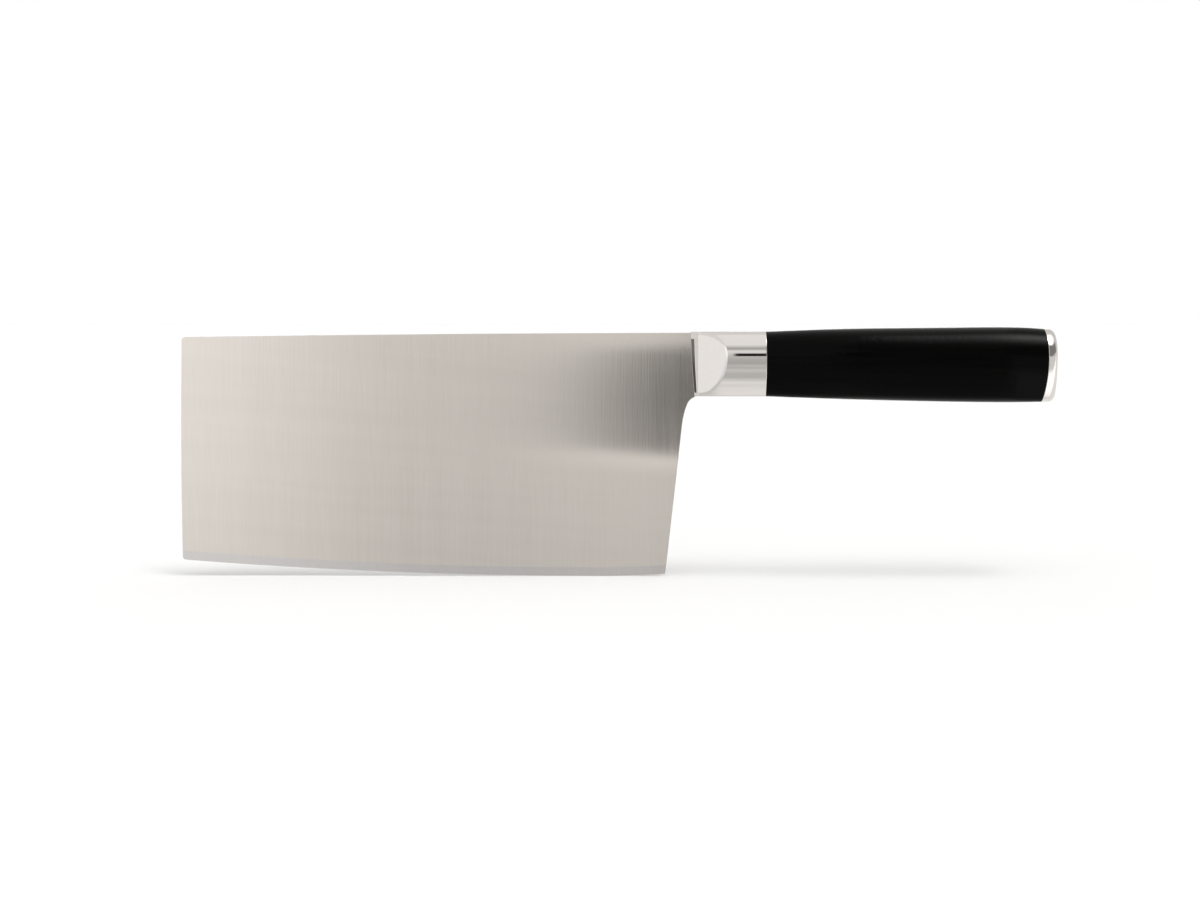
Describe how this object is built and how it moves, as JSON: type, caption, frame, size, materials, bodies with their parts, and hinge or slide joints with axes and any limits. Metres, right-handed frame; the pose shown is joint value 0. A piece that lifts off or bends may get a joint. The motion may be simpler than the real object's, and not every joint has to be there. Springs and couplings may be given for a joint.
{
  "type": "chinese cleaver",
  "caption": "Chinese vegetable cleaver with a tall rectangular blade, a scooped bolster, an egg-shaped black grip and a polished end cap.",
  "frame": {"origin": "under the middle of the knife's length, on the blade's middle plane, at the lowest point of the edge", "axes": "+X from the tip to the butt, +Z from the edge to the spine, +Y through the thickness of the blade"},
  "size_m": [0.3244, 0.0194, 0.0928],
  "materials": {
    "blade_steel": "satin, fine grain from spine to edge",
    "polished_steel": "polished, with fine wiping marks",
    "tang_steel": "as rolled",
    "fastener_steel": "plain, turned",
    "black_laminate": "satin black wood laminate with a faint lengthwise grain",
    "bedding_resin": "cast, dull"
  },
  "bodies": {
    "root": {"blade": "blade_steel", "bolster": "polished_steel", "tang": "tang_steel", "bedding_resin": "bedding_resin", "grip": "black_laminate", "tang_washer": "fastener_steel", "tang_nut": "fastener_steel", "end_cap": "polished_steel", "end_cap_pins": "fastener_steel"}
  },
  "joints": []
}
